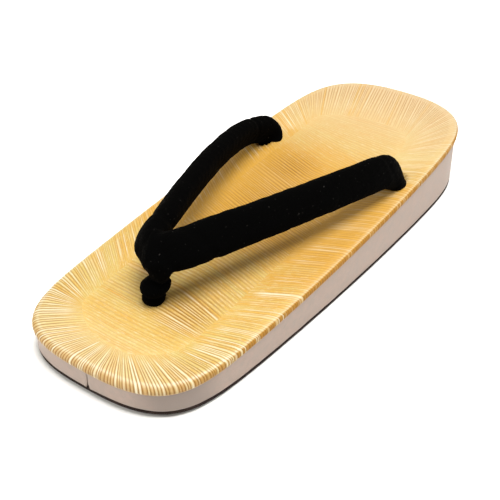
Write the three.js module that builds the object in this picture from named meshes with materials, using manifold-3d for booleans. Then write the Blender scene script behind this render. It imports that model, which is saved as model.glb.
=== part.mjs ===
// A setta: a flat thong sandal with a wedge sole, a woven-look footbed and padded straps.
// Millimetres. +X points to the toe, +Y to the wearer's left and +Z up.
// The origin is on the floor under the middle of the sole. This is the left sandal.

import * as THREE from 'three';
import { mergeVertices } from 'three/addons/utils/BufferGeometryUtils.js';
import Module from 'manifold-3d';

const wasm = await Module();
wasm.setup();

// Sole outline
const LENGTH = 265;
const WIDTH = 102;
const TOE_TAPER = 0.015;
const END_TAPER = 0.099;
const TOE_END = { along: 11.8, across: 2.78 };
const HEEL_END = { along: 9.2, across: 2.42 };
const OUTLINE_STEPS = 52;
const FINE_STEPS = 4000;

// Heights of the footbed's underside: a wedge that sags a little in the middle
const SEAT_AT_HEEL = 29;
const SEAT_AT_TOE = 11;
const SEAT_SAG = 1.6;

// Outsole: flat under heel and forefoot, lifting over the last quarter of the toe
const OUTSOLE_THICK = 2;
const OUTSOLE_INSET = 1.1;
const SPRING_START = 68;
const SPRING_RISE = 1.8;

// Clearance between pieces, and the distance under which two vertices are one
const GAP = 0.3;
const WELD = 1e-4;

// Side wrap and the wedge behind it
const WRAP_INSET = 0.9;
const WRAP_THICK = 1.2;
const MIDSOLE_INSET = WRAP_INSET + WRAP_THICK + GAP;
const JOINT_TOP_WIDTH = 0.5;
const JOINT_FOOT_WIDTH = 2.4;

// Footbed section from the underside, round the rolled rim, to the middle field
const MAT_SECTION = [
  { inset: 1.3, rise: 0.0 },
  { inset: 0.4, rise: 0.5 },
  { inset: 0.0, rise: 1.7 },
  { inset: 0.1, rise: 2.9 },
  { inset: 0.7, rise: 4.1 },
  { inset: 1.9, rise: 4.9 },
  { inset: 3.8, rise: 5.2 },
  { inset: 10.0, rise: 5.0 },
  { inset: 21.0, rise: 4.6 },
  { inset: 24.0, rise: 4.2 },
];

// Strap: one row for each place along an arm, from the toe to the rear hole.
// across is measured outward from the strap's middle line, height from the floor, and
// lean is how far the band's upper edge tips in over the foot, in degrees.
const ARM = [
  { x: 84.5, across: 2.4, height: 42.6, wide: 14.4, thick: 10.2, lean: 38 },
  { x: 77.0, across: 5.6, height: 42.0, wide: 17.0, thick: 11.0, lean: 35 },
  { x: 60.0, across: 12.8, height: 41.8, wide: 17.8, thick: 11.2, lean: 28 },
  { x: 35.0, across: 21.6, height: 41.8, wide: 17.6, thick: 11.0, lean: 21 },
  { x: 3.0, across: 31.2, height: 41.4, wide: 17.2, thick: 10.6, lean: 20 },
  { x: -25.0, across: 37.6, height: 39.8, wide: 16.8, thick: 10.2, lean: 22 },
  { x: -37.0, across: 39.2, height: 38.2, wide: 16.6, thick: 10.0, lean: 25 },
  { x: -45.5, across: 39.4, height: 34.0, wide: 17.2, thick: 10.0, lean: 28 },
  { x: -50.5, across: 39.2, height: 27.6, wide: 17.6, thick: 9.8, lean: 26 },
];
const ARM_STEPS = 40;
const ARM_SIDES = 20;
const ARM_SQUARENESS = 2.5;
const FRONT_NOSE = 2.4;
const REAR_NOSE = 2.5;
const NOSE_STEPS = 4;
const NOSE_BLUNT = 0.4;

// Toe post: the strap gathers to a neck over a ball with two lobes, held in the front hole.
// The front hole lies a little to the big toe's side of the middle.
const POST_X = 84;
const POST_Y = -2.6;
const POST_LEAN = 0.17;
const POST_FOOT = 18;
const REAR_X = -50;
const GATHER = [
  { radius: 4.2, height: 29.6 },
  { radius: 5.0, height: 32.2 },
  { radius: 6.0, height: 36.0 },
  { radius: 5.4, height: 40.0 },
];
const BALL = [
  { radius: 3.8, height: 11.0 },
  { radius: 3.8, height: 17.6 },
  { radius: 5.2, height: 19.2 },
  { radius: 5.6, height: 20.8 },
  { radius: 5.3, height: 22.2 },
  { radius: 6.3, height: 23.6 },
  { radius: 6.7, height: 25.4 },
  { radius: 6.2, height: 27.4 },
  { radius: 4.4, height: 29.4 },
  { radius: 3.4, height: 30.2 },
];
const POST_SIDES = 28;
const LOOP_WIDE = 8;
const LOOP_THICK = 1;
const LOOP_BACK = 66;

// Half width of the sole at x, drawn in by inset.
function halfWidth(x, inset) {
  const along = x / (LENGTH / 2 - inset);
  const end = along > 0 ? TOE_END : HEEL_END;
  const side = (WIDTH / 2) * (1 - TOE_TAPER * along - END_TAPER * along * along) - inset;
  const round = Math.max(0, 1 - Math.abs(along) ** end.along);
  return side * round ** (1 / end.across);
}

// Outline points at even steps round the edge, from the toe along +Y to the heel and back.
function outline(inset) {
  const reach = LENGTH / 2 - inset;
  const fine = [];
  for (let i = 0; i <= FINE_STEPS; i++) {
    const x = reach * Math.cos((Math.PI * i) / FINE_STEPS);
    fine.push(new THREE.Vector2(x, halfWidth(x, inset)));
  }
  const run = [0];
  for (let i = 1; i < fine.length; i++) run.push(run[i - 1] + fine[i].distanceTo(fine[i - 1]));
  const half = [];
  let at = 0;
  for (let k = 0; k <= OUTLINE_STEPS; k++) {
    const goal = (run[FINE_STEPS] * k) / OUTLINE_STEPS;
    while (at < FINE_STEPS - 1 && run[at + 1] < goal) at += 1;
    const part = (goal - run[at]) / (run[at + 1] - run[at]);
    half.push(fine[at].clone().lerp(fine[at + 1], part));
  }
  half[0].set(reach, 0);
  half[OUTLINE_STEPS].set(-reach, 0);
  const back = half.slice(1, -1).reverse();
  return [...half, ...back.map((p) => new THREE.Vector2(p.x, -p.y))];
}

// Height of the footbed's underside at x.
function seat(x) {
  const t = x / LENGTH + 0.5;
  return SEAT_AT_HEEL * (1 - t) + SEAT_AT_TOE * t - SEAT_SAG * 4 * t * (1 - t);
}

// Height of the outsole's underside at x.
function spring(x) {
  const t = Math.max(0, (x - SPRING_START) / (LENGTH / 2 - SPRING_START));
  return SPRING_RISE * t * t;
}

// One ring round the sole, at an inset and at a height that depends on x.
function soleRing(inset, height) {
  return outline(inset).map((p) => new THREE.Vector3(p.x, p.y, height(p.x)));
}

// A solid from vertices and triangles.
function solidOf(points, triangles) {
  const vertProperties = new Float32Array(points.flatMap((p) => [p.x, p.y, p.z]));
  const triVerts = new Uint32Array(triangles.flat());
  return new wasm.Manifold(new wasm.Mesh({ numProp: 3, vertProperties, triVerts }));
}

// A solid from a three.js geometry.
function solidFrom(geometry) {
  const bare = geometry.index ? geometry.toNonIndexed() : geometry;
  bare.deleteAttribute('normal');
  bare.deleteAttribute('uv');
  const merged = mergeVertices(bare, WELD);
  const vertProperties = new Float32Array(merged.attributes.position.array);
  const triVerts = new Uint32Array(merged.index.array);
  return new wasm.Manifold(new wasm.Mesh({ numProp: 3, vertProperties, triVerts }));
}

// The side faces between each ring and the next.
function walls(rings, closed) {
  const count = rings[0].length;
  const triangles = [];
  const last = closed ? rings.length : rings.length - 1;
  for (let j = 0; j < last; j++) {
    const low = j * count;
    const high = ((j + 1) % rings.length) * count;
    for (let k = 0; k < count; k++) {
      const next = (k + 1) % count;
      triangles.push([low + k, low + next, high + next], [low + k, high + next, high + k]);
    }
  }
  return triangles;
}

// Strips across the sole that close a ring, facing up or down.
function deck(base, count, up) {
  const triangles = [];
  const mirror = (k) => base + ((count - k) % count);
  for (let k = 0; k < count / 2; k++) {
    const quad = [base + k, base + k + 1, mirror(k + 1), mirror(k)];
    const halves = [[quad[0], quad[1], quad[2]], [quad[0], quad[2], quad[3]]];
    triangles.push(...halves.filter((t) => new Set(t).size === 3));
  }
  return up ? triangles : triangles.map(([a, b, c]) => [a, c, b]);
}

// A layer of the sole, from its lowest ring to its highest.
function layer(rings) {
  const count = rings[0].length;
  const top = (rings.length - 1) * count;
  const triangles = [...walls(rings, false), ...deck(0, count, false), ...deck(top, count, true)];
  return solidOf(rings.flat(), triangles);
}

// Fan that closes a ring of a strap or post.
function fan(base, count, flip) {
  const triangles = [];
  for (let k = 1; k < count - 1; k++) triangles.push([base, base + k, base + k + 1]);
  return flip ? triangles.map(([a, b, c]) => [a, c, b]) : triangles;
}

// One strap arm on side 1 (left) or -1 (right), grown all round by grow.
// The middle line leans from the front hole to the middle of the heel.
function arm(side, grow) {
  const column = (name) => ARM.map((row) => row[name]);
  const midline = (x) => POST_Y * THREE.MathUtils.clamp((x - REAR_X) / (POST_X - REAR_X), 0, 1);
  const knots = ARM.map(
    (row) => new THREE.Vector3(row.x, midline(row.x) + side * row.across, row.height)
  );
  const curve = new THREE.CatmullRomCurve3(knots, false, 'centripetal');
  const pick = (values, t) => {
    const at = t * (values.length - 1);
    const row = Math.min(Math.floor(at), values.length - 2);
    return THREE.MathUtils.lerp(values[row], values[row + 1], at - row);
  };
  const up = new THREE.Vector3(0, 0, 1);
  const ring = (t, scale, push) => {
    const tangent = curve.getTangent(t);
    const centre = curve.getPoint(t).addScaledVector(tangent, push);
    const lean = THREE.MathUtils.degToRad(pick(column('lean'), t));
    const out = new THREE.Vector3(0, side, 0);
    const wide = up.clone().multiplyScalar(Math.cos(lean)).addScaledVector(out, -Math.sin(lean));
    wide.addScaledVector(tangent, -wide.dot(tangent)).normalize();
    const thick = new THREE.Vector3().crossVectors(tangent, wide);
    const halfWide = (pick(column('wide'), t) / 2) * scale + grow;
    const halfThick = (pick(column('thick'), t) / 2) * scale + grow;
    const points = [];
    for (let k = 0; k < ARM_SIDES; k++) {
      const angle = (2 * Math.PI * k) / ARM_SIDES;
      const bulge = (v) => Math.sign(v) * Math.abs(v) ** (2 / ARM_SQUARENESS);
      const point = centre.clone();
      point.addScaledVector(wide, halfWide * bulge(Math.cos(angle)));
      point.addScaledVector(thick, halfThick * bulge(Math.sin(angle)));
      points.push(point);
    }
    return points;
  };
  const nose = (t, length) => {
    const turns = Array.from({ length: NOSE_STEPS }, (_, j) => (j + NOSE_BLUNT) / NOSE_STEPS);
    const angles = turns.map((turn) => (turn * Math.PI) / 2);
    return angles.map((a) => ring(t, Math.sin(a), length * Math.cos(a)));
  };
  const body = Array.from({ length: ARM_STEPS + 1 }, (_, j) => ring(j / ARM_STEPS, 1, 0));
  const rings = [...nose(0, -FRONT_NOSE - grow), ...body, ...nose(1, REAR_NOSE + grow).reverse()];
  const end = (rings.length - 1) * ARM_SIDES;
  const triangles = [...walls(rings, false), ...fan(0, ARM_SIDES, true), ...fan(end, ARM_SIDES, false)];
  return solidOf(rings.flat(), triangles);
}

// A round upright solid at the front hole, from a table of radii and heights.
function post(table, grow) {
  const low = table[0].height - grow;
  const high = table[table.length - 1].height + grow;
  const side = table.map((row) => new THREE.Vector2(row.radius + grow, row.height));
  side[0].y = low;
  side[side.length - 1].y = high;
  const profile = [new THREE.Vector2(0, low), ...side, new THREE.Vector2(0, high)];
  const geometry = new THREE.LatheGeometry(profile, POST_SIDES);
  geometry.rotateX(Math.PI / 2);
  geometry.applyMatrix4(new THREE.Matrix4().makeShear(0, 0, 0, 0, 0, POST_LEAN));
  geometry.translate(POST_X, POST_Y - POST_LEAN * POST_FOOT, 0);
  return solidFrom(geometry);
}

// Both arms joined at the front, with the gathered cloth that runs down to the neck.
function strapForm(grow) {
  return arm(1, grow).add(arm(-1, grow)).add(post(GATHER, grow));
}

// Everything under the footbed, to trim what ends in its holes.
function underFootbed() {
  return layer([soleRing(0, () => -OUTSOLE_THICK), soleRing(0, seat)]);
}

function outsole() {
  return layer([
    soleRing(OUTSOLE_INSET, spring),
    soleRing(OUTSOLE_INSET, (x) => spring(x) + OUTSOLE_THICK),
  ]);
}

const wedgeFoot = (x) => spring(x) + OUTSOLE_THICK + GAP;
const wedgeTop = (x) => seat(x) - GAP;

function midsole() {
  return layer([soleRing(MIDSOLE_INSET, wedgeFoot), soleRing(MIDSOLE_INSET, wedgeTop)]);
}

// A tape round the wedge, butted at the toe, where the joint opens toward its foot.
function sideWrap() {
  const rings = [
    soleRing(WRAP_INSET, wedgeFoot),
    soleRing(WRAP_INSET, wedgeTop),
    soleRing(WRAP_INSET + WRAP_THICK, wedgeTop),
    soleRing(WRAP_INSET + WRAP_THICK, wedgeFoot),
  ];
  const tape = solidOf(rings.flat(), walls(rings, true));
  const joint = new THREE.Shape();
  joint.moveTo(-JOINT_FOOT_WIDTH / 2, 0);
  joint.lineTo(JOINT_FOOT_WIDTH / 2, 0);
  joint.lineTo(JOINT_TOP_WIDTH / 2, SEAT_AT_TOE);
  joint.lineTo(-JOINT_TOP_WIDTH / 2, SEAT_AT_TOE);
  const slit = new THREE.ExtrudeGeometry(joint, { depth: LENGTH / 2, bevelEnabled: false });
  slit.rotateX(Math.PI / 2);
  slit.rotateZ(Math.PI / 2);
  return tape.subtract(solidFrom(slit));
}

function topMat() {
  const rings = MAT_SECTION.map((row) => soleRing(row.inset, (x) => seat(x) + row.rise));
  return layer(rings).subtract(strapForm(GAP)).subtract(post(BALL.slice(0, 2), GAP));
}

function strap() {
  return strapForm(0).subtract(underFootbed());
}

// The loop passes round the front of the strap and its two legs make the ball.
function toeLoop() {
  const slab = new THREE.BoxGeometry(LENGTH, LOOP_WIDE, LENGTH);
  slab.translate(LOOP_BACK + LENGTH / 2, POST_Y, LENGTH / 2);
  const band = strapForm(GAP + LOOP_THICK).intersect(solidFrom(slab));
  const loop = band.add(post(BALL, 0)).subtract(strapForm(GAP));
  return loop.subtract(underFootbed());
}

// A named mesh with its own material.
function piece(name, solid, finish) {
  const { vertProperties, triVerts } = solid.getMesh();
  const geometry = new THREE.BufferGeometry();
  geometry.setAttribute('position', new THREE.BufferAttribute(vertProperties, 3));
  geometry.setIndex(new THREE.BufferAttribute(triVerts, 1));
  geometry.computeVertexNormals();
  const mesh = new THREE.Mesh(geometry, new THREE.MeshStandardMaterial(finish));
  mesh.name = name;
  return mesh;
}

const sandal = new THREE.Group();
sandal.add(
  piece('outsole', outsole(), { color: 0x2b211c, roughness: 0.75, metalness: 0 }),
  piece('midsole', midsole(), { color: 0x8d8378, roughness: 0.85, metalness: 0 }),
  piece('side_wrap', sideWrap(), { color: 0x9b948c, roughness: 0.6, metalness: 0 }),
  piece('top_mat', topMat(), { color: 0xd9a441, roughness: 0.35, metalness: 0 }),
  piece('strap', strap(), { color: 0x0c0b0b, roughness: 0.95, metalness: 0 }),
  piece('toe_loop', toeLoop(), { color: 0x0e0c0c, roughness: 0.95, metalness: 0 })
);

export default sandal;
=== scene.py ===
import bpy
import numpy as np
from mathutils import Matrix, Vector
from mathutils.bvhtree import BVHTree


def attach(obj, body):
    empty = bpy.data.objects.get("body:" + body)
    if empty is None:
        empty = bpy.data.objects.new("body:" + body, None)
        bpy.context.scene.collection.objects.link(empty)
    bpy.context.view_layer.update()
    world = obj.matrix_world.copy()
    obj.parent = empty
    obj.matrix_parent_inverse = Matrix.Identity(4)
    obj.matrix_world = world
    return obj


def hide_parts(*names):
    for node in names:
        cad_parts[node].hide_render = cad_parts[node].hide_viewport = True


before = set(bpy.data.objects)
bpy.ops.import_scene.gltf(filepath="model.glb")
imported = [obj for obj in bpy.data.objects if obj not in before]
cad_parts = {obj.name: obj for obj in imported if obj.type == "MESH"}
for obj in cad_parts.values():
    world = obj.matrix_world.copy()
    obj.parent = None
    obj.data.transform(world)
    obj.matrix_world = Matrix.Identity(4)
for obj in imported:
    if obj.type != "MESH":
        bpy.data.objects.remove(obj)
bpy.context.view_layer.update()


# Outsole: a thin sheet of dark brown rubber, cut to the sandal's outline and glued under the wedge.
# Only its edge shows, as a dark line round the foot of the wall; it turns up a little at the toe.
# The outline here is the one that all the layers of the sole share, each drawn in by its own inset.

MM = 0.001
LENGTH = 265.0
WIDTH = 102.0
# How much narrower the outline is toward the toe and toward both ends, and how square its ends are.
TOE_TAPER = 0.015
END_TAPER = 0.099
TOE_ROUND = (11.8, 2.78)
HEEL_ROUND = (9.2, 2.42)
OUTLINE_STEPS = 2001
# Where the underside starts to lift toward the toe, and how far it has lifted at the tip.
SPRING_START = 68.0
SPRING_RISE = 1.8
OUTSOLE_STEPS = 480
# Inset from the outline and height above the floor, from the underside to the glued face.
OUTSOLE_EDGE = [(2.2, 0.0), (1.5, 0.12), (1.05, 0.45), (0.95, 1.0), (1.0, 1.7), (1.5, 2.27)]
RUBBER_DARK = (0.010, 0.0045, 0.003, 1)
RUBBER_WORN = (0.022, 0.012, 0.009, 1)


def half_width(x, inset):
    """Half the sole's width at x, drawn in by inset."""
    along = x / (LENGTH / 2 - inset)
    side = WIDTH / 2 * (1 - TOE_TAPER * along - END_TAPER * along**2) - inset
    toe = np.clip(1 - np.abs(along) ** TOE_ROUND[0], 0, 1) ** (1 / TOE_ROUND[1])
    heel = np.clip(1 - np.abs(along) ** HEEL_ROUND[0], 0, 1) ** (1 / HEEL_ROUND[1])
    return side * np.where(along > 0, toe, heel)


def outline(turns, inset=0.0):
    """Points on the sole's edge: turn 0 is the toe tip, 0.25 the left side, 0.5 the heel."""
    half_x = (LENGTH / 2 - inset) * np.cos(np.linspace(0, np.pi, OUTLINE_STEPS))
    half_y = half_width(half_x, inset)
    x = np.concatenate([half_x, half_x[-2::-1]])
    y = np.concatenate([half_y, -half_y[-2::-1]])
    run = np.concatenate([[0], np.cumsum(np.hypot(np.diff(x), np.diff(y)))])
    goal = np.mod(turns, 1) * run[-1]
    return np.interp(goal, run, x), np.interp(goal, run, y)


def spring(x):
    """Height of the outsole's underside, which lifts at the toe."""
    reach = np.clip((x - SPRING_START) / (LENGTH / 2 - SPRING_START), 0, None)
    return SPRING_RISE * reach**2


def walls(rows, count, closed=False):
    """Faces between each row of a grid and the next, where every row runs round and closes."""
    grid = np.arange(rows * count).reshape(rows, count)
    above = np.roll(grid, -1, axis=0) if closed else grid[1:]
    below = grid if closed else grid[:-1]
    ahead = np.roll(below, -1, axis=1), np.roll(above, -1, axis=1)
    return np.stack([below, ahead[0], ahead[1], above], axis=-1).reshape(-1, 4).tolist()


def deck(ring, up=True):
    """Strips across the sole that close a ring of vertices which starts at the toe tip."""
    half = len(ring) // 2
    left = list(ring[: half + 1])
    right = [ring[0]] + list(ring[: half - 1 : -1])
    faces = []
    for k in range(half):
        face = list(dict.fromkeys([left[k], left[k + 1], right[k + 1], right[k]]))
        faces.append(face if up else face[::-1])
    return faces


def piece_of(name, points, faces):
    """A new piece of the sandal, from points in millimetres and faces."""
    mesh = bpy.data.meshes.new(name)
    mesh.from_pydata((np.asarray(points) * MM).tolist(), [], faces)
    mesh.shade_smooth()
    piece = bpy.data.objects.new(name, mesh)
    bpy.context.scene.collection.objects.link(piece)
    return piece


class Wire:
    """A value on its way through a finish: sums and products on it add Math nodes."""

    def __init__(self, tree, socket):
        self.tree = tree
        self.socket = socket

    def node(self, kind, settings=None, sockets=None, out=0):
        """Adds any node: its type, its settings, the values or wires of its sockets."""
        made = self.tree.nodes.new("ShaderNode" + kind)
        for name, value in (settings or {}).items():
            setattr(made, name, value)
        for name, value in (sockets or {}).items():
            if isinstance(value, Wire):
                self.tree.links.new(value.socket, made.inputs[name])
            else:
                made.inputs[name].default_value = value
        return Wire(self.tree, made.outputs[out])

    def maths(self, operation, first, second):
        return self.node("Math", {"operation": operation}, {0: first, 1: second})

    def __add__(self, other):
        return self.maths("ADD", self, other)

    def __sub__(self, other):
        return self.maths("SUBTRACT", self, other)

    def __rsub__(self, other):
        return self.maths("SUBTRACT", other, self)

    def __mul__(self, other):
        return self.maths("MULTIPLY", self, other)

    def __pow__(self, other):
        return self.maths("POWER", self, other)

    __radd__ = __add__
    __rmul__ = __mul__

    def ramp(self, low, high):
        """0 below low, 1 above high, and even between them."""
        return self.node("MapRange", {"clamp": True}, {"Value": self, 1: low, 2: high})

    def tint(self, first, second):
        """A colour that goes from the first to the second as this value goes from 0 to 1."""
        return self.node("Mix", {"data_type": "RGBA"}, {0: self, 6: first, 7: second}, out=2)

    def noise(self, size, detail=2.0, rough=0.5):
        """Soft noise over the points on this wire, with blots of about size in millimetres."""
        sockets = {"Vector": self, "Scale": 1 / (size * MM), "Detail": detail, "Roughness": rough}
        return self.node("TexNoise", {}, sockets)

    def stretched(self, x, y, z):
        """The points on this wire, scaled along each axis."""
        return self.node("VectorMath", {"operation": "MULTIPLY"}, {0: self, 1: (x, y, z)})

    def along(self, start, end):
        """0 at one place along the sandal, in millimetres, 1 at another, and even between them."""
        return self.node("SeparateXYZ", {}, {0: self}).ramp(start * MM, end * MM)

    def patch(self, place, reach, core):
        """1 round a place along and across the sandal, in millimetres, fading out to reach."""
        along = self.node("SeparateXYZ", {}, {0: self})
        across = self.node("SeparateXYZ", {}, {0: self}, out=1)
        away = (along - place[0] * MM) ** 2 + (across - place[1] * MM) ** 2
        return away.ramp((reach * MM) ** 2, (core * MM) ** 2)


def finish(name, plain):
    """A new finish: its material, its shader, and the wire of the points on the piece."""
    material = bpy.data.materials.new(name)
    material.use_nodes = True
    tree = material.node_tree
    shader = tree.nodes["Principled BSDF"]
    for socket, value in plain.items():
        shader.inputs[socket].default_value = value
    points = tree.nodes.new("ShaderNodeTexCoord").outputs["Object"]
    return material, shader, Wire(tree, points)


def dress(shader, **wires):
    """Leads wires to the shader: colour, rough, coat, and height in millimetres for the bump."""
    tree = shader.id_data
    names = {"colour": "Base Color", "rough": "Roughness", "coat": "Coat Weight"}
    for key, socket in names.items():
        if key in wires:
            tree.links.new(wires[key].socket, shader.inputs[socket])
    if "height" in wires:
        bump = wires["height"].node("Bump", {}, {"Distance": MM, "Height": wires["height"]})
        tree.links.new(bump.socket, shader.inputs["Normal"])


around = np.arange(OUTSOLE_STEPS) / OUTSOLE_STEPS
rings = []
for inset, rise in OUTSOLE_EDGE:
    x, y = outline(around, inset)
    rings.append(np.column_stack([x, y, spring(x) + rise]))
faces = walls(len(rings), OUTSOLE_STEPS)
faces += deck(list(range(OUTSOLE_STEPS)), up=False)
faces += deck([(len(rings) - 1) * OUTSOLE_STEPS + k for k in range(OUTSOLE_STEPS)])
outsole = piece_of("outsole_rubber", np.concatenate(rings), faces)

rubber, shader, points = finish("dark_rubber", {"Specular IOR Level": 0.15})
worn = points.noise(6, 4)
grain = points.noise(0.5, 3)
dress(
    shader,
    colour=worn.ramp(0.4, 0.7).tint(RUBBER_DARK, RUBBER_WORN),
    rough=0.62 + 0.25 * grain,
    height=0.05 * grain + 0.08 * worn,
)
outsole.data.materials.append(rubber)
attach(outsole, "root")
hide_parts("outsole")


# Midsole: a wedge of grey-beige sponge between the outsole and the footbed, high at the heel.
# It is hidden behind the covering of the wall, and shows only where that covering's ends part.

SPONGE_PALE = (0.36, 0.30, 0.25, 1)
SPONGE_PORE = (0.16, 0.13, 0.11, 1)
PORES_PER_METRE = 1600.0

sponge, shader, points = finish("wedge_sponge", {"Specular IOR Level": 0.2})
pores = points.node("TexVoronoi", {}, {"Vector": points, "Scale": PORES_PER_METRE})
dress(
    shader,
    colour=pores.ramp(0.15, 0.5).tint(SPONGE_PORE, SPONGE_PALE),
    rough=0.8 + 0.15 * points.noise(2),
    height=0.12 * pores,
)
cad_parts["midsole"].material_slots[0].material = sponge


# Side wrap: a strip of thin grey-beige vinyl, glued round the wedge from outsole to footbed.
# Its two ends butt at the toe, where they part a little toward the foot of the wall.

WRAP_INSET = 0.9
WRAP_THICK = 1.2
WRAP_STEPS = 620
# Height of its foot above the outsole's underside, and of its top above the footbed's seat.
WRAP_FOOT = 2.05
WRAP_TOP = 1.0
# Height of the seat, the face that the footbed lies on, and how far it sags between its ends.
SEAT_AT_HEEL = 29.0
SEAT_AT_TOE = 11.0
SEAT_SAG = 1.6
# Inset from the outer face and share of the wall's height, round the strip's section.
WRAP_SECTION = [
    (0.9, 0.0), (0.25, 0.0), (0.02, 0.025), (0.0, 0.1), (0.0, 0.25), (0.0, 0.4), (0.0, 0.55),
    (0.0, 0.7), (0.0, 0.85), (0.0, 0.94), (0.05, 0.985), (0.3, 1.0), (WRAP_THICK, 1.0),
    (WRAP_THICK, 0.5), (WRAP_THICK, 0.0),
]
# The joint of its ends: its place as a share of the way round, its width at the top and the foot.
JOINT_PLACE = 0.0032
JOINT_TOP = 0.15
JOINT_FOOT = 2.4
# How far the ends curl out and over what length; height and two wave counts of the slight ripple.
CURL_OUT = 0.35
CURL_LENGTH = 2.5
RIPPLE = 0.05
RIPPLE_WAVES = (211, 97)
# A painted shade on the wall round the toe on the left: its place, how far it reaches, and its
# core.
SHADED_TOE_CORNER = (119, 40)
SHADED_TOE_REACH = 20
SHADED_TOE_CORE = 7
PEBBLES_PER_METRE = 1400.0
VINYL_GREY = (0.262, 0.210, 0.177, 1)
VINYL_PINK = (0.316, 0.235, 0.195, 1)
VINYL_SCUFF_AND_SHADE = (0.205, 0.164, 0.141, 1)


def seat(x):
    """Height of the footbed's underside."""
    along = x / LENGTH + 0.5
    return SEAT_AT_HEEL * (1 - along) + SEAT_AT_TOE * along - SEAT_SAG * 4 * along * (1 - along)


almost_round = np.linspace(0, 0.999999, 4001)
edge_run = np.hypot(*np.diff(outline(almost_round, WRAP_INSET), axis=1)).sum()
rows = []
for inset, share in WRAP_SECTION:
    gap = JOINT_TOP + (JOINT_FOOT - JOINT_TOP) * (1 - share) ** 4
    ends = gap / 2 / edge_run
    turns = np.linspace(ends, 1 - ends, WRAP_STEPS)
    x, y = outline(turns + JOINT_PLACE, WRAP_INSET + inset)
    foot = spring(x) + WRAP_FOOT
    to_end = np.minimum(turns, 1 - turns) * edge_run
    curl = CURL_OUT * np.exp(-((to_end / CURL_LENGTH) ** 2)) * (1 - share)
    ripple = np.sin(turns * RIPPLE_WAVES[0]) * np.sin(turns * RIPPLE_WAVES[1] + share * 3)
    out_x, out_y = outline(turns + JOINT_PLACE, WRAP_INSET + inset - 1)
    push = (curl + RIPPLE * ripple)[:, None]
    rise = foot + share * (seat(x) + WRAP_TOP - foot)
    point = np.column_stack([x, y, rise])
    point[:, :2] += push * (np.column_stack([out_x, out_y]) - point[:, :2])
    rows.append(point)
grid = np.arange(len(rows) * WRAP_STEPS).reshape(len(rows), WRAP_STEPS)
nearer = np.roll(grid, -1, axis=0)
faces = np.stack([grid[:, :-1], grid[:, 1:], nearer[:, 1:], nearer[:, :-1]], axis=-1)
faces = faces.reshape(-1, 4).tolist() + [grid[:, 0].tolist(), grid[::-1, -1].tolist()]
side_wrap = piece_of("side_wrap_vinyl", np.concatenate(rows), faces)

vinyl, shader, points = finish("wall_vinyl", {"Specular IOR Level": 0.4, "Coat Roughness": 0.35})
mottle = points.noise(3, 3, 0.6)
scuff = points.stretched(1, 1, 2.5).noise(2.2, 5, 0.7)
pebbles = {"Vector": points, "Scale": PEBBLES_PER_METRE}
pebble = points.node("TexVoronoi", {"feature": "SMOOTH_F1"}, pebbles)
clean = mottle.ramp(0.3, 0.7).tint(VINYL_GREY, VINYL_PINK)
# The wall goes toward a darker grey for random scuffs, and for a painted shade round the toe on the
# left.
toe_wall_shade = points.patch(SHADED_TOE_CORNER, SHADED_TOE_REACH, SHADED_TOE_CORE)
dress(
    shader,
    colour=(0.55 * scuff.ramp(0.62, 0.8) + 0.9 * toe_wall_shade).tint(clean, VINYL_SCUFF_AND_SHADE),
    rough=0.42 + 0.22 * mottle,
    height=0.035 * pebble + 0.05 * scuff,
)
side_wrap.data.materials.append(vinyl)
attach(side_wrap, "root")
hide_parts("side_wrap")


# Footbed border: golden glossy strips, laid side by side, fanned round toe and heel and slanted
# along the sides. They roll over the edge of the footbed board and are glued to a pale lip below.

STRIPS = 440
STRIP_STEPS = 5
# Least and greatest width of a strip against the mean, and how many neighbours are alike in tone.
STRIP_WIDTHS = (0.55, 1.45)
ALIKE = 5
# Edge of the board: inset, rise above the seat, and how far the surface there faces up, in degrees.
RIM = [
    (8.0, 0.0, -90), (2.4, 0.0, -60), (2.4, 0.9, -20), (0.55, 1.0, -60), (0.42, 1.1, -20),
    (0.42, 1.32, 0), (0.6, 1.4, 0), (0.3, 1.5, -35), (0.05, 2.0, -12), (0.0, 2.7, 0),
    (0.02, 3.3, 5), (0.1, 3.8, 18), (0.3, 4.2, 40), (0.65, 4.52, 60), (1.3, 4.8, 72),
    (2.4, 5.05, 80), (4.0, 5.2, 86),
]
# The same for its upper rows at the toe, where the roll is wider, and where that widening lies.
TOE_RIM = [
    (0.05, 3.0, 8), (0.25, 3.55, 24), (0.75, 4.15, 40), (1.5, 4.65, 54), (2.5, 5.0, 67),
    (3.6, 5.18, 78), (4.8, 5.25, 86),
]
WIDE_ROLL = (85, 120)
# The rows at its foot that are the pale lip, and the painted shade of the roll against how far it
# faces up.
LIP_ROWS = 7
ROLL_FACING = [-40, 5, 40, 75]
ROLL_SHADE = [1.0, 0.9, 0.5, 0.0]
# For the grain: the way round the edge, the way up the rim, and what sets strip off from strip.
EDGE_RUN = 640.0
RIM_RUN = 18
STRIP_APART = 50
# Rows from the rim to the strips' inner ends; past 1 they are tucked under the middle strips.
BORDER_SHARES = [0.06, 0.13, 0.2, 0.28, 0.36, 0.44, 0.52, 0.6, 0.68, 0.76, 0.84, 0.92, 1.0, 1.1]
BORDER_RISE = (5.22, 4.55)
TUCK_SLOPE = 2.5
TUCK_RISE = 0.2
# Height of a strip's ridge on the rim and on the flat, how full its back is, where ridges grow
# crisp along the sandal, and where on their way inward they fade and lose their pale crests.
RIM_RIDGE = 0.22
FLAT_RIDGE = 0.2
BORDER_FULLNESS = 0.7
TOE_CRISP = (72, 108)
HEEL_CRISP = (-70, -110)
RIDGE_FADE = (0.3, 1.0)
CREST_FADE = (0.6, 1.0)
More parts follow.
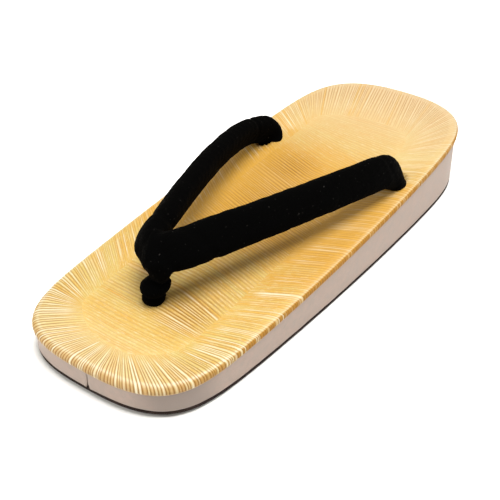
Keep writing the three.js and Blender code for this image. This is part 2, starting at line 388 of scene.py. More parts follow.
# Where a strip leaves the edge, and where it ends against the middle of the footbed.
STRIP_ENDS = [
    ((132.5, 0), (117, 0)), ((129, 27), (116.5, 11)), ((117, 42), (111, 21)),
    ((103, 46.5), (103, 27)), ((75, 49.5), (81, 28.5)), ((0, 51), (9, 28.5)),
    ((-80, 49), (-67, 28)), ((-112, 41), (-83, 27)), ((-130, 14), (-93, 22)),
    ((-129, -18), (-95, -8)), ((-112, -41), (-84.5, -27.5)), ((-85, -48.5), (-68, -28)),
    ((0, -51), (16, -28.5)), ((75, -49.5), (88, -28.5)), ((103, -46.5), (104, -27)),
    ((117, -42), (106.5, -25)), ((129, -27), (114.5, -13.5)),
]
# Slots where the strap goes through: centre, half length and half width, and their rounded edge.
SLOTS = [((-50.5, 39.2), (8.2, 4.6)), ((-50.5, -39.2), (8.2, 4.6)), ((84, -2.6), (3.3, 3.3))]
SLOT_DEPTH = 4.3
SLOT_EDGE = (1.1, 0.85)
STRAW_GOLD = (0.457, 0.366, 0.128, 1)
STRAW_PALE = (0.59, 0.54, 0.385, 1)
STRAW_DEEP = (0.46, 0.25, 0.038, 1)
STRAW_SEAM = (0.175, 0.072, 0.007, 1)
HEEL_SEAM = (0.30, 0.165, 0.05, 1)
STRAW_PEACH_SHEEN = (0.452, 0.336, 0.206, 1)
ROLL_SHADE_AMBER = (0.29, 0.13, 0.008, 1)
LIP_CREAM = (0.34, 0.24, 0.13, 1)
# Stretches along the sandal: peach at the heel, partly the straw's own tone and partly a painted
# reflection of the sky; painted shade under and between the straps; paler at the toe; less painted
# shade on the roll round the toe; and lighter ribs on the roll from the middle forward.
HEEL_PEACH_SHEEN = (-45, -125)
STRAP_SHADE_BACK = (-70, -30)
STRAP_SHADE_FRONT = (55, 15)
TOE_PALE = (102, 134)
TOE_ROLL = (85, 125)
LIGHT_RIBS = (0, 60)
# A painted shade on the strips beside the toe post: its place, how far it reaches, and its core.
KNOT_SHADE = (82, 14)
KNOT_SHADE_REACH = 20
KNOT_SHADE_CORE = 8

chance = np.random.default_rng(11)


def rising(value, start, end):
    """0 at start, 1 at end, and even between them, whichever of the two is larger."""
    return np.clip((value - start) / (end - start), 0, 1)


def flowing(knots, at, closed=False):
    """A smooth curve through rows of numbers, read at row places such as 2.5."""
    knots = np.asarray(knots, float)
    count = len(knots)
    row = np.floor(at).astype(int)
    part = (at - row)[:, None]

    def knot(offset):
        place = row + offset
        return knots[place % count if closed else np.clip(place, 0, count - 1)]

    def gap(start, end):
        return np.sqrt(np.linalg.norm((end - start)[:, :3], axis=1))[:, None] + 1e-6

    before, first, second, after = knot(-1), knot(0), knot(1), knot(2)
    back, here, on = gap(before, first), gap(first, second), gap(second, after)
    span = second - first
    leave = ((first - before) * here**2 / back + span * back) / (back + here)
    reach = (span * on + (after - second) * here**2 / on) / (here + on)
    bend = 3 * span - 2 * leave - reach
    return first + part * leave + part**2 * bend + part**3 * (leave + reach - 2 * span)


def sink(x, y):
    """How far the footbed dips at a place, where the strap goes through."""
    dip = np.zeros_like(x)
    for (slot_x, slot_y), (long, wide) in SLOTS:
        away = np.hypot((x - slot_x) / long, (y - slot_y) / wide)
        ease = rising(away, *SLOT_EDGE)
        dip = np.maximum(dip, SLOT_DEPTH * ease**2 * (3 - 2 * ease))
    return dip


def strip_steps(count):
    """Uneven strips: the place of each vertex, its strip, and its share across the strip."""
    widths = chance.uniform(*STRIP_WIDTHS, count)
    starts = np.concatenate([[0], np.cumsum(widths)]) / widths.sum()
    strip = np.repeat(np.arange(count), STRIP_STEPS)
    share = np.tile(np.arange(STRIP_STEPS) / STRIP_STEPS, count)
    return starts[strip] + share * np.diff(starts)[strip], strip, share


def strip_paint(piece, tone, ridge, pale, rim, lay):
    """Keeps each vertex's strip tone, ridge, paleness and painted rim shade, and its place on the
    strip.
    """
    colours = np.column_stack([tone, ridge, pale, rim]).astype(np.float32)
    store = piece.data.attributes.new("strip", "FLOAT_COLOR", "POINT")
    store.data.foreach_set("color", colours.ravel())
    store = piece.data.attributes.new("lay", "FLOAT_VECTOR", "POINT")
    store.data.foreach_set("vector", lay.astype(np.float32).ravel())


def kindred(count):
    """A chance value for each strip, in which neighbours are partly alike."""
    single = chance.uniform(0, 1, count)
    group = np.convolve(np.tile(chance.uniform(-1, 1, count), 3), np.ones(ALIKE) / 2.2, "same")
    return np.clip(0.55 * single + 0.25 + 0.35 * group[count : 2 * count], 0, 1)


turns, strip, share = strip_steps(STRIPS)
count = len(turns)
tone = kindred(STRIPS)[strip]
pale = chance.uniform(0, 1, STRIPS)[strip]
tilt = chance.uniform(-1, 1, STRIPS)[strip]
lift = chance.uniform(0.6, 1.25, STRIPS)[strip]
ridge = np.sin(np.pi * share) ** BORDER_FULLNESS

fine = np.linspace(0, 1, 8001)[:-1]
fine_x, fine_y = outline(fine)
knot_turns = []
for (x, y), _ in STRIP_ENDS:
    knot_turns.append(fine[np.argmin(np.hypot(fine_x - x, fine_y - y))])
knot_turns = np.append(knot_turns, 1.0)
rows_at = np.interp(turns, knot_turns, np.arange(len(knot_turns)))
inner = flowing([end for _, end in STRIP_ENDS], rows_at, closed=True)

edge = np.column_stack(outline(turns))
ahead = np.column_stack(outline(turns + 1e-4)) - edge
ahead /= np.linalg.norm(ahead, axis=1)[:, None]
side = np.column_stack([ahead[:, 1], -ahead[:, 0], np.zeros(count)])
reach = inner - edge
inward = reach[:, 1] * ahead[:, 0] - reach[:, 0] * ahead[:, 1]
rows, relief, rims, places, pales = [], [], [], [], []
toeward = rising(edge[:, 0], *WIDE_ROLL) ** 2
first_toe_row = len(RIM) - len(TOE_RIM)
for k, (inset, rise, facing) in enumerate(RIM):
    if k >= first_toe_row:
        at_toe = TOE_RIM[k - first_toe_row]
        inset = inset + toeward * (at_toe[0] - inset)
        rise = rise + toeward * (at_toe[1] - rise)
        facing = facing + toeward * (at_toe[2] - facing)
        x, y = (edge + reach * (inset / inward)[:, None]).T
    else:
        x, y = outline(turns, inset)
    angle = np.radians(facing + 0 * turns)[:, None]
    outward = np.cos(angle) * side + np.sin(angle) * np.array([0, 0, 1])
    crisp = 0.35 + 0.65 * rising(x, *TOE_CRISP)
    upward = np.clip(facing / 90 + 0 * turns, 0, 1)
    shown = crisp + 0.75 * (1 - crisp) * (1 - upward)
    amount = 0.0 if k < LIP_ROWS else RIM_RIDGE * shown
    height = amount * lift * (ridge - 0.5) + amount * 0.3 * tilt * (share - 0.5)
    rows.append(np.column_stack([x, y, seat(x) + rise]) + outward * height[:, None])
    relief.append(np.where(k < LIP_ROWS, 1.0, 1 - (1 - ridge) * shown))
    # Painted shade on the roll, darker the further down it faces.
    dark = np.interp(facing + 0 * turns, ROLL_FACING, ROLL_SHADE)
    rims.append(np.full(count, -1.0) if k < LIP_ROWS else dark)
    up_rim = np.full(count, k - RIM_RUN)
    places.append(np.column_stack([up_rim, turns * EDGE_RUN, tone * STRIP_APART]))
    pales.append(pale * (1 - 0.4 * (1 - crisp) * upward))
crown = np.column_stack([x, y])
far = np.linalg.norm(inner - crown, axis=1)
for part in BORDER_SHARES:
    x, y = (crown + part * (inner - crown)).T
    rise = BORDER_RISE[0] + (BORDER_RISE[1] - BORDER_RISE[0]) * min(part, 1) ** 1.5
    rise -= TUCK_SLOPE * max(0, part - 1)
    crisp = 0.5 + 0.5 * rising(x, *TOE_CRISP) + 0.45 * rising(x, *HEEL_CRISP)
    fade = rising(part, *RIDGE_FADE)
    amount = FLAT_RIDGE * crisp * (1 - 0.95 * fade)
    height = amount * lift * (ridge - 0.7) + amount * 0.4 * tilt * (share - 0.5)
    rows.append(np.column_stack([x, y, seat(x) + rise + height - sink(x, y)]))
    relief.append(1 - (1 - ridge) * crisp * (1 - 0.6 * fade))
    rims.append(np.zeros(count))
    places.append(np.column_stack([part * far, turns * EDGE_RUN, tone * STRIP_APART]))
    dull = 1 - 0.7 * rising(part, *CREST_FADE)
    pales.append((0.12 + 0.88 * pale) * (0.8 + 0.2 * crisp) * dull)
rows.append(np.column_stack([x, y, seat(x) + TUCK_RISE]))
relief.append(np.ones(count))
rims.append(np.zeros(count))
places.append(places[-1] + [1, 0, 0])
pales.append(pales[-1])

border = piece_of("footbed_border", np.concatenate(rows), walls(len(rows), count, closed=True))
strip_paint(
    border,
    np.tile(tone, len(rows)),
    np.concatenate(relief),
    np.concatenate(pales),
    np.concatenate(rims),
    np.concatenate(places) * MM,
)

straw, shader, points = finish(
    "golden_strips", {"Specular IOR Level": 0.22, "Coat Roughness": 0.3, "Coat IOR": 1.45}
)
painted = points.node("Attribute", {"attribute_name": "strip"})
strip_tone = points.node("SeparateColor", {}, {0: painted})
strip_ridge = points.node("SeparateColor", {}, {0: painted}, out=1)
strip_pale = points.node("SeparateColor", {}, {0: painted}, out=2)
strip_rim = points.node("Attribute", {"attribute_name": "strip"}, out=3)
lay = points.node("Attribute", {"attribute_name": "lay"}, out=1)
fibre = lay.stretched(0.2, 1, 1).noise(0.7, 4, 0.65)
fleck = points.noise(0.9, 3, 0.7)
cloud = points.noise(16, 3)
run = lay.stretched(0.18, 0.2, 1).noise(4, 2)
heel = points.along(*HEEL_PEACH_SHEEN)
# Painted shade under and between the straps: it deepens the gold there.
strap_shade = points.along(*STRAP_SHADE_BACK) * points.along(*STRAP_SHADE_FRONT)
# Painted shade on the strips beside the toe post.
knot_shade = points.patch(KNOT_SHADE, KNOT_SHADE_REACH, KNOT_SHADE_CORE)
deep = strip_tone * 0.4 + run * 0.5 + cloud * 0.5 + fleck * 0.7 + 0.6 * strap_shade - 0.72
body = deep.ramp(0.0, 0.7).tint(STRAW_GOLD, STRAW_DEEP)
# Deeper gold for the painted shade under the straps and beside the toe post.
body = (0.5 * strap_shade + 0.5 * knot_shade).tint(body, STRAW_DEEP)
# Paler peach toward the heel: partly the straw's own tone, partly a painted reflection of the sky.
body = (heel * (0.85 - 0.6 * strip_tone.ramp(0.78, 0.95))).tint(body, STRAW_PEACH_SHEEN)
body = (0.35 * points.along(*TOE_PALE)).tint(body, STRAW_PALE)
# Less painted highlight and pale fibre inside the painted strap shade.
unshaded = 1 - 0.6 * strap_shade
# Painted highlights along the crests of the paler strips and of the rim's ribs, weaker at the heel.
pale_crest = 0.3 * strip_rim.ramp(0.0, 0.3) + strip_pale.ramp(0.4, 0.9)
crest_highlight = strip_ridge**4 * pale_crest * run.ramp(0.3, 0.55)
body = (0.95 * crest_highlight * (1 - 0.8 * heel) * unshaded).tint(body, STRAW_PALE)
body = (0.5 * fibre.ramp(0.5, 0.75) * (1 - 0.5 * heel) * unshaded).tint(body, STRAW_PALE)
# A painted highlight along the rolled edge between the top and the rim, where the coat is raised
# too.
corner_highlight = strip_rim.ramp(0.0, 0.08) * strip_rim.ramp(0.3, 0.15)
body = (0.3 * corner_highlight).tint(body, STRAW_PALE)
# Painted shade on the roll of the rim, weaker round the toe and on the lighter ribs, tinted amber;
# it also roughens the roll and dulls its coat.
under = strip_rim.ramp(0.12, 0.45) * (0.93 - 0.43 * points.along(*TOE_ROLL))
light_rib = strip_pale.ramp(0.5, 0.9) * (0.5 + 0.35 * points.along(*LIGHT_RIBS))
body = (under * (1 - light_rib)).tint(body, ROLL_SHADE_AMBER)
valley = (1 - strip_ridge) * (0.9 + 0.08 * strip_rim.ramp(0.0, 0.6))
body = valley.tint(body, heel.tint(STRAW_SEAM, HEEL_SEAM))
body = (0 - strip_rim).ramp(0.3, 0.6).tint(body, LIP_CREAM)
dress(
    shader,
    colour=body,
    rough=0.3 + 0.2 * fibre + 0.1 * strip_tone + 0.3 * under,
    coat=(0.15 + 0.2 * strip_pale) * (1 - under) + 0.4 * corner_highlight,
    height=0.06 * fibre + 0.03 * fleck,
)
border.data.materials.append(straw)
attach(border, "root")
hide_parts("top_mat")


# Footbed middle: the same golden strips, laid side by side across the foot, inside the border and a
# little lower, so that its strips end against them. They lean forward toward the left edge and back
# toward the right one, and run straight across at toe and heel.

FIELD_PITCH = 1.6
FIELD_STEPS = 30
FIELD_RISE = 4.55
# How far the strips go under the border at the sides and the ends, how far they drop there, and
# over what width inside it their ridges fade.
FIELD_TUCK = 2.0
FIELD_OVERLAP = 0.4
FIELD_DROP = 0.3
FIELD_FADE = 6.0
# Slant of the strips on either side, the bend between the two, and where the slants come and go.
LEFT_SLANT = 0.3
RIGHT_SLANT = 0.36
RIGHT_SLANT_LEAST = 0.12
SLANT_BEND = 6.0
SLANT_HEEL = (-85, -55)
LEFT_SLANT_TOE = (98, 73)
RIGHT_SLANT_TOE = (62, 37)
# Stretches toward the heel and the toe where the strips grow even.
HEEL_CALM = (-30, -50)
TOE_CALM = (88, 98)
# Height of a strip's ridge, what the places that follow add to it, and how full its back is.
FIELD_RIDGE = 0.07
BRIGHT_RIDGE = 0.1
FIELD_FULLNESS = 1.5
# Places where the strips stand out: middle, half length and half width, and how pale they are;
# that paleness shows as painted highlights along their crests.
BRIGHT = [
    ((84, 16), (13, 13), 1.0), ((52, -16), (20, 9), 0.7), ((5, 0), (32, 20), 0.2),
    ((-35, -10), (14, 12), 0.0),
]
BRIGHT_EDGE = 1.3

all_round = np.linspace(0, len(STRIP_ENDS), 2001)[:-1]
edge = flowing([end for _, end in STRIP_ENDS], all_round, closed=True)
left_edge = edge[edge[:, 1] >= 0]
right_edge = edge[edge[:, 1] <= 0]
left_edge = left_edge[np.argsort(left_edge[:, 0])]
right_edge = right_edge[np.argsort(right_edge[:, 0])]
field_heel = edge[:, 0].min() - FIELD_OVERLAP
field_toe = edge[:, 0].max() + FIELD_OVERLAP
field_strips = int((field_toe - field_heel) / FIELD_PITCH)
along, strip, share = strip_steps(field_strips)
along = np.append(along, 1.0)
strip = np.append(strip, field_strips - 1)
share = np.append(share, 0.0)
count = len(along)
line_x = field_heel + along * (field_toe - field_heel)
left = np.interp(line_x, left_edge[:, 0], left_edge[:, 1]) + FIELD_TUCK
right = np.interp(line_x, right_edge[:, 0], right_edge[:, 1]) - FIELD_TUCK
tone = kindred(field_strips)[strip]
pale = kindred(field_strips)[strip]
tilt = chance.uniform(-1, 1, field_strips)[strip]
lift = chance.uniform(0.5, 1.2, field_strips)[strip]
ridge = np.sin(np.pi * share) ** FIELD_FULLNESS
from_heel = rising(line_x, *SLANT_HEEL)
left_slant = LEFT_SLANT * from_heel * rising(line_x, *LEFT_SLANT_TOE)
right_share = np.maximum(rising(line_x, *RIGHT_SLANT_TOE), RIGHT_SLANT_LEAST)
right_slant = RIGHT_SLANT * from_heel * right_share
heel_calm = rising(line_x, *HEEL_CALM)
calm = rising(line_x, *TOE_CALM) + heel_calm
rows, relief, gleams, places = [], [], [], []
for across in np.linspace(-1, 1, FIELD_STEPS):
    y = right + (left - right) * (across + 1) / 2
    bent = np.hypot(np.maximum(y, 0), SLANT_BEND) - SLANT_BEND
    x = line_x + left_slant * bent + right_slant * np.minimum(y, 0)
    inside = np.minimum(left - y, y - right)
    tuck = FIELD_DROP * rising(inside, FIELD_TUCK, 0)
    fade = rising(inside, FIELD_TUCK + FIELD_FADE, FIELD_TUCK)
    gleam, shine = np.zeros(count), np.zeros(count)
    for (bright_x, bright_y), (long, wide), white in BRIGHT:
        away = np.hypot((x - bright_x) / long, (y - bright_y) / wide)
        near = np.clip(BRIGHT_EDGE - away, 0, 1)
        gleam = np.maximum(gleam, near)
        shine = np.maximum(shine, white * near)
    amount = (FIELD_RIDGE + BRIGHT_RIDGE * gleam) * (1 - 0.7 * fade)
    height = amount * lift * (ridge - 0.7) + amount * 0.4 * tilt * (share - 0.5)
    rows.append(np.column_stack([x, y, seat(x) + FIELD_RISE + height - tuck - sink(x, y)]))
    relief.append(ridge + (1 - ridge) * (0.5 + 0.2 * calm - 0.5 * gleam + 0.2 * fade))
    gleams.append(pale * (0.6 - 0.25 * calm + 0.5 * shine) + 0.3 * shine)
    places.append(np.column_stack([y, line_x, tone * STRIP_APART]))
top = np.concatenate(rows)
base = top.copy()
base[:, 2] = seat(base[:, 0])
grid = np.arange(len(top)).reshape(FIELD_STEPS, count)
lower = grid + len(top)
faces = np.stack([grid[:-1, :-1], grid[:-1, 1:], grid[1:, 1:], grid[1:, :-1]], axis=-1)
faces = faces.reshape(-1, 4).tolist()
edge_loop = np.concatenate([grid[0, :-1], grid[:-1, -1], grid[-1, :0:-1], grid[:0:-1, 0]])
under_loop = edge_loop + len(top)
ahead, under_ahead = np.roll(edge_loop, -1), np.roll(under_loop, -1)
faces += np.stack([under_loop, under_ahead, ahead, edge_loop], axis=-1).tolist()
faces += np.stack([lower[0, :-1], lower[-1, :-1], lower[-1, 1:], lower[0, 1:]], axis=-1).tolist()
field = piece_of("footbed_middle", np.concatenate([top, base]), faces)
strip_paint(
    field,
    np.tile(0.5 + (tone - 0.5) * (1 - 0.65 * heel_calm), 2 * FIELD_STEPS),
    np.tile(np.concatenate(relief), 2),
    np.tile(np.concatenate(gleams), 2),
    np.zeros(2 * len(top)),
    np.tile(np.concatenate(places), (2, 1)) * MM,
)
field.data.materials.append(straw)
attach(field, "root")
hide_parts("top_mat")


# Strap: a stuffed tube of black velvet in two arms. They part at the toe post, sweep back over the
# instep and bend down into slots at the sides, where they are anchored under the footbed.

# Place of the toe post, its lean to the left, and the height that it leans from.
POST = (84.0, -2.6)
POST_LEAN = 0.17
POST_FOOT = 18.0
# Along the sandal, across it, height, width, thickness, and lean of the width, in degrees.
LEFT_ARM = [
    (82.3, -0.3, 29, 4.2, 4.8, 50), (83.3, 1, 31.6, 7.8, 6.4, 50),
    (83.8, 1.2, 35.6, 14, 8.2, 46), (80.6, 0.2, 40.5, 16.1, 9.8, 40),
    (77, 4, 41.2, 17.2, 10.8, 35), (60, 10.7, 41.6, 18.2, 11.2, 28),
    (35, 20, 41.8, 17.6, 11, 21), (3, 30.2, 41.4, 17.2, 10.6, 20),
    (-25, 37.1, 39.8, 16.8, 10.2, 22), (-37, 39, 38.2, 16.6, 10, 25),
    (-45.5, 39.3, 33.6, 17.2, 10, 28), (-50.5, 39.2, 27.6, 17.4, 9.8, 26),
    (-51.6, 39.1, 23.6, 17.4, 9.8, 26),
]
RIGHT_ARM = [
    (82.3, -0.3, 29, 4.2, 4.8, 50), (83.3, 1, 31.6, 7.8, 6.4, 50),
    (83.8, 0.6, 35.6, 14, 8.2, 46), (80.6, -5.6, 40.5, 16.1, 9.8, 40),
    (77, -10, 41.2, 17.2, 10.8, 35), (60, -15.5, 41.6, 18.2, 11.2, 28),
    (35, -23.3, 41.8, 17.6, 11, 21), (3, -32.2, 41.2, 17.2, 10.6, 20),
    (-25, -38.1, 38.7, 16.8, 10.2, 22), (-37, -39.5, 36.1, 16.6, 10, 25),
    (-46.6, -39.5, 33.0, 17.4, 10.2, 28), (-51, -39.2, 28.4, 17.6, 9.8, 26),
    (-51.6, -39.1, 23.6, 17.6, 9.8, 26),
]
ARM_STEPS = 150
ARM_SIDES = 44
# Steps over which an arm swells from its blunt front end, and how square its section is.
ARM_END_STEPS = 8
ARM_END_BLUNT = 0.1
ARM_SQUARE = 2.5
# Radius and height of the cloth that is gathered down to the toe post.
GATHER = [(2.6, 28.8), (2.8, 31.0), (3.4, 32.6), (4.6, 35.0), (5.2, 38.0), (4.6, 40.6), (2.6, 42.4)]
GATHER_SIDES = 40
# Creases across an arm: side, place along the sandal, lean, depth and width.
CREASES = [
    (-1, -36.5, 0.15, 0.5, 1.5), (1, -38.5, 0.2, 0.3, 1.6),
    (1, 66, 0.5, 0.45, 2.2), (-1, 64, 0.4, 0.4, 2.0),
]
# The height at which a crease has its place, and how far from the middle line the creases start.
CREASE_HEIGHT = 40
CREASE_START = 4
# Height of the small and broad unevenness of the stuffing.
SMALL_RUMPLE = 0.10
BROAD_RUMPLE = 0.12
STRAP_VOXEL = 0.7
STRAP_ROUNDING = 4
VELVET_BLACK = (0.0008, 0.0008, 0.0008, 1)
VELVET_LINT = (0.03, 0.028, 0.026, 1)


def arm(knots, side):
    """Rings of points round one arm, from the toe post to its slot."""
    line = flowing(knots, np.linspace(0, len(knots) - 1, ARM_STEPS))
    centre = line[:, :3]
    ahead = np.gradient(centre, axis=0)
    ahead /= np.linalg.norm(ahead, axis=1)[:, None]
    lean = np.radians(line[:, 5])
    wide = np.column_stack([0 * lean, -np.sin(lean) * side, np.cos(lean)])
    wide -= ahead * (wide * ahead).sum(axis=1)[:, None]
    wide /= np.linalg.norm(wide, axis=1)[:, None]
    thick = np.cross(ahead, wide)
    ends = np.minimum(np.arange(ARM_STEPS), ARM_END_STEPS) / ARM_END_STEPS
    ends = np.sqrt(1 - (1 - ends) ** 2) * (1 - ARM_END_BLUNT) + ARM_END_BLUNT
    angle = np.linspace(0, 2 * np.pi, ARM_SIDES, endpoint=False)
    up = np.sign(np.cos(angle)) * np.abs(np.cos(angle)) ** (2 / ARM_SQUARE)
    out = np.sign(np.sin(angle)) * np.abs(np.sin(angle)) ** (2 / ARM_SQUARE)
    half_wide = (line[:, 3] / 2 * ends)[:, None, None] * up[None, :, None]
    half_thick = (line[:, 4] / 2 * ends)[:, None, None] * out[None, :, None]
    return centre[:, None, :] + half_wide * wide[:, None, :] + half_thick * thick[:, None, :]


def post(table, sides):
    """Rings of points round an upright at the toe post, which leans with it."""
    angle = np.linspace(0, 2 * np.pi, sides, endpoint=False)
    rings = []
    for radius, height in table:
        ring_y = POST[1] + POST_LEAN * (height - POST_FOOT) + radius * np.sin(angle)
        ring_x = POST[0] + radius * np.cos(angle)
        rings.append(np.column_stack([ring_x, ring_y, 0 * angle + height]))
    return np.array(rings)


def closed_tube(rings, first):
    """Points and faces of a tube with closed ends, its vertices counted from first."""
    rows, sides = rings.shape[:2]
    faces = walls(rows, sides) + [list(range(sides))[::-1]]
    faces += [[(rows - 1) * sides + k for k in range(sides)]]
    return rings.reshape(-1, 3), [[first + k for k in face] for face in faces]


def blended(piece, voxel, passes):
    """Joins what crosses in a piece into one skin and rounds the joins."""
    remesh = piece.modifiers.new("one_skin", "REMESH")
    remesh.mode = "VOXEL"
    remesh.voxel_size = voxel * MM
    smooth = piece.modifiers.new("rounding", "SMOOTH")
    smooth.factor = 0.5
    smooth.iterations = passes
    graph = bpy.context.evaluated_depsgraph_get()
    skin = bpy.data.meshes.new_from_object(piece.evaluated_get(graph))
    piece.modifiers.clear()
    piece.data = skin
    skin.shade_smooth()


def points_of(mesh):
    """The places of a mesh's vertices, in millimetres."""
    flat = np.empty(3 * len(mesh.vertices))
    mesh.vertices.foreach_get("co", flat)
    return flat.reshape(-1, 3) / MM


def rumple(piece):
    """Presses the creases into the velvet and gives it the slight unevenness of stuffed cloth."""
    mesh = piece.data
    place = points_of(mesh)
    facing = np.empty(3 * len(mesh.vertices))
    mesh.vertices.foreach_get("normal", facing)
    x, y, z = place.T
    press = SMALL_RUMPLE * np.sin(0.9 * x + 1.3 * z) * np.sin(1.1 * y - 0.8 * z + 0.3 * x)
    press += BROAD_RUMPLE * np.sin(0.31 * x + 0.2 * z + 1) * np.sin(0.37 * y + 0.5 * z)
    for side, along, lean, depth, width in CREASES:
        away = (x - along - lean * (z - CREASE_HEIGHT)) / width
        press += depth * np.exp(-(away**2)) * (y * side > CREASE_START)
    place -= press[:, None] * facing.reshape(-1, 3)
    mesh.vertices.foreach_set("co", (place * MM).ravel())
    mesh.update()


tubes, faces = [], []
for rings in (arm(LEFT_ARM, 1), arm(RIGHT_ARM, -1), post(GATHER, GATHER_SIDES)):
    found, more = closed_tube(rings, sum(len(t) for t in tubes))
    tubes.append(found)
    faces += more
strap = piece_of("strap_velvet", np.concatenate(tubes), faces)
blended(strap, STRAP_VOXEL, STRAP_ROUNDING)
rumple(strap)

velvet, shader, points = finish(
    "black_velvet",
    {"Specular IOR Level": 0.008, "Sheen Weight": 0.006, "Sheen Roughness": 0.4,
     "Sheen Tint": (0.9, 0.8, 0.72, 1)},
)
nap = points.noise(0.6, 4, 0.7)
brushed = points.stretched(0.5, 1, 1).noise(7, 3)
lint = points.noise(1.1, 2).ramp(0.71, 0.78)
dress(
    shader,
    colour=lint.tint(VELVET_BLACK, VELVET_LINT),
    rough=0.8 + 0.2 * brushed,
    height=0.25 * nap + 0.4 * brushed,
)
strap.data.materials.append(velvet)
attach(strap, "root")
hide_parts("strap")


# Toe loop: a narrow velvet band over the crotch of the strap, drawn down in front of it and behind.
# Its legs are twisted into two soft lobes between the toes, then go through the front hole.

# Radius and height of the twisted legs: the cord in the hole, the lower lobe and the upper lobe.
BALL = [
    (2.7, 13.6), (2.7, 16.6), (4.0, 17.0), (4.9, 17.8), (5.4, 18.9), (5.5, 20.2), (5.2, 21.5),
    (4.9, 22.2), (5.5, 22.9), (6.3, 24.0), (6.7, 25.4), (6.5, 26.9), (5.3, 28.4), (3.9, 29.6),
    (3.0, 30.4), (2.6, 31.6),
]
BALL_SIDES = 56
# How far the lobes swell with the twist, from what radius on, and the twist's turn with height.
BALL_TWIST = 0.35
TWIST_RADII = (3, 6)
BALL_TURN = 0.25
# How far the lobes stand forward of the post, and the heights between which they do.
BALL_FORWARD = 0.8
BALL_FOOT = 16.8
BALL_NECK = (31, 21)
BAND_MIDDLE = (79.5, 0, 38.5)
# Angle round the strap, from the front up and over to the back, and half the band's width there.
BAND_WIDTHS = [(-75, 2.6), (-40, 4.2), (20, 4.6), (100, 4.4), (150, 3.0), (205, 2.2)]
# The same angle, and how far the band lies left of the middle line there.
BAND_LEANS = [(-75, 2.0), (0, 1.2), (90, -1.8), (205, -0.6)]
BAND_STEPS = 64
BAND_ROWS = 13
# Its thickness, how far its edges are pressed in, its underside below the velvet of the strap, and
# how far out the search for that velvet starts.
BAND_THICK = 0.55
BAND_EDGE_PRESS = 1.6
BAND_SUNK = 0.6
BAND_SEARCH = 40

ball = post(BALL, BALL_SIDES)
angle = np.linspace(0, 2 * np.pi, BALL_SIDES, endpoint=False)
for ring, (radius, height) in zip(ball, BALL):
    centre = ring.mean(axis=0)
    twist = BALL_TWIST * np.cos(2 * angle + BALL_TURN * height) * rising(radius, *TWIST_RADII)
    ring += (ring - centre) * (twist / radius)[:, None]
    ring[:, 0] += BALL_FORWARD * rising(height, *BALL_NECK) * (height > BALL_FOOT)

skin = BVHTree.FromPolygons(
    [tuple(p) for p in points_of(strap.data)], [tuple(f.vertices) for f in strap.data.polygons]
)
middle = Vector(BAND_MIDDLE)
outer, inner_face = [], []
for turn in np.linspace(BAND_WIDTHS[0][0], BAND_WIDTHS[-1][0], BAND_STEPS):
    out = Vector((np.cos(np.radians(turn)), 0, np.sin(np.radians(turn))))
    half = np.interp(turn, *zip(*BAND_WIDTHS))
    lean = np.interp(turn, *zip(*BAND_LEANS))
    for row in np.linspace(-1, 1, BAND_ROWS):
        start = middle + Vector((0, lean + row * half, 0)) + BAND_SEARCH * out
        hit = skin.ray_cast(start, -out)[0] or start - BAND_SEARCH * out
        stand = BAND_THICK * (1 - abs(row) ** 5 * BAND_EDGE_PRESS)
        outer.append(hit + out * stand)
        inner_face.append(hit - out * BAND_SUNK)
band = np.array(outer + inner_face)
grid = np.arange(BAND_STEPS * BAND_ROWS).reshape(BAND_STEPS, BAND_ROWS)
first = ball.size // 3
sheet = np.stack([grid[:-1, :-1], grid[:-1, 1:], grid[1:, 1:], grid[1:, :-1]], axis=-1)
sheet = sheet.reshape(-1, 4)
rim = np.concatenate([grid[0, :-1], grid[:-1, -1], grid[-1, :0:-1], grid[:0:-1, 0]])
under = rim + len(outer)
fold = np.stack([under, np.roll(under, -1), np.roll(rim, -1), rim], axis=-1)
band_faces = np.concatenate([sheet, sheet[:, ::-1] + len(outer), fold]) + first
found, faces = closed_tube(ball, 0)
toe_loop = piece_of("toe_loop_velvet", np.concatenate([found, band]), faces + band_faces.tolist())
toe_loop.data.materials.append(velvet)
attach(toe_loop, "root")
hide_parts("toe_loop")


# Studio: a plain white floor under soft light. The main lamp hangs almost overhead, and two weaker
# ones light the wall along the left side and round the toe. The camera stands in front of the toe
# on the left and looks down along the sandal.

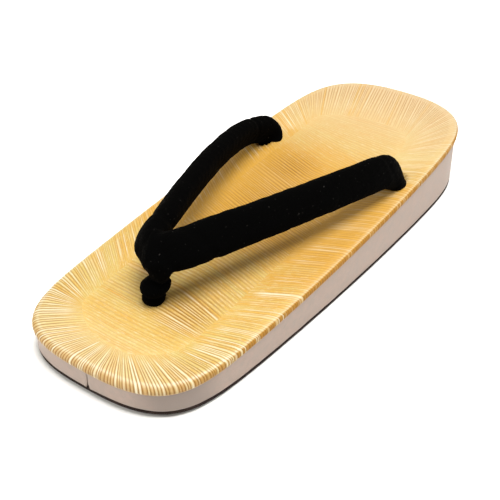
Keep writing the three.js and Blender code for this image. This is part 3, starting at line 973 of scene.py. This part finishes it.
FLOOR_WHITE = (0.88, 0.88, 0.875, 1)
FLOOR_CLOUD = (0.9, 0.9, 0.895, 1)
FLOOR_SIZE = 12
CAMERA_PLACE = (0.32632, 0.22453, 0.27068)
CAMERA_AIM = (0.0326, 0.0108, 0.020)
CAMERA_LENS = 69.2
CAMERA_SENSOR = 36
# Name, place, width in metres and power in watts of each lamp, and the point that they all face.
LAMPS = [
    ("key_lamp", (0.05, 0.16, 1.14), 0.62, 20.6),
    ("fill_lamp", (-0.38, 1.0, 0.5), 0.8, 4.0),
    ("toe_lamp", (0.75, -0.6, 0.4), 0.5, 5.0),
]
LAMP_AIM = (0, 0, 0.02)
SKY_WARM = (1, 0.92, 0.78, 1)
SKY_STRENGTH = 0.55

bpy.ops.mesh.primitive_grid_add(x_subdivisions=8, y_subdivisions=8, size=FLOOR_SIZE)
floor = bpy.context.object
floor.name = "floor"
paper, shader, points = finish("white_floor", {"Roughness": 0.9, "Specular IOR Level": 0.1})
dress(shader, colour=points.noise(400).tint(FLOOR_WHITE, FLOOR_CLOUD))
floor.data.materials.append(paper)

sky = bpy.data.worlds.new("studio")
sky.use_nodes = True
backdrop = sky.node_tree.nodes["Background"]
backdrop.inputs["Color"].default_value = SKY_WARM
backdrop.inputs["Strength"].default_value = SKY_STRENGTH
bpy.context.scene.world = sky
bpy.context.scene.view_settings.view_transform = "Standard"


def set_up(name, thing, place, aim):
    """Puts a lamp or camera at a place in the studio, turned to look at another."""
    holder = bpy.data.objects.new(name, thing)
    holder.location = place
    holder.rotation_euler = (Vector(aim) - Vector(place)).to_track_quat("-Z", "Y").to_euler()
    bpy.context.scene.collection.objects.link(holder)
    return holder


for name, place, size, power in LAMPS:
    light = bpy.data.lights.new(name, "AREA")
    light.size = size
    light.energy = power
    set_up(name, light, place, LAMP_AIM)

view = bpy.data.cameras.new("camera")
view.lens = CAMERA_LENS
view.sensor_width = CAMERA_SENSOR
bpy.context.scene.camera = set_up("camera", view, CAMERA_PLACE, CAMERA_AIM)
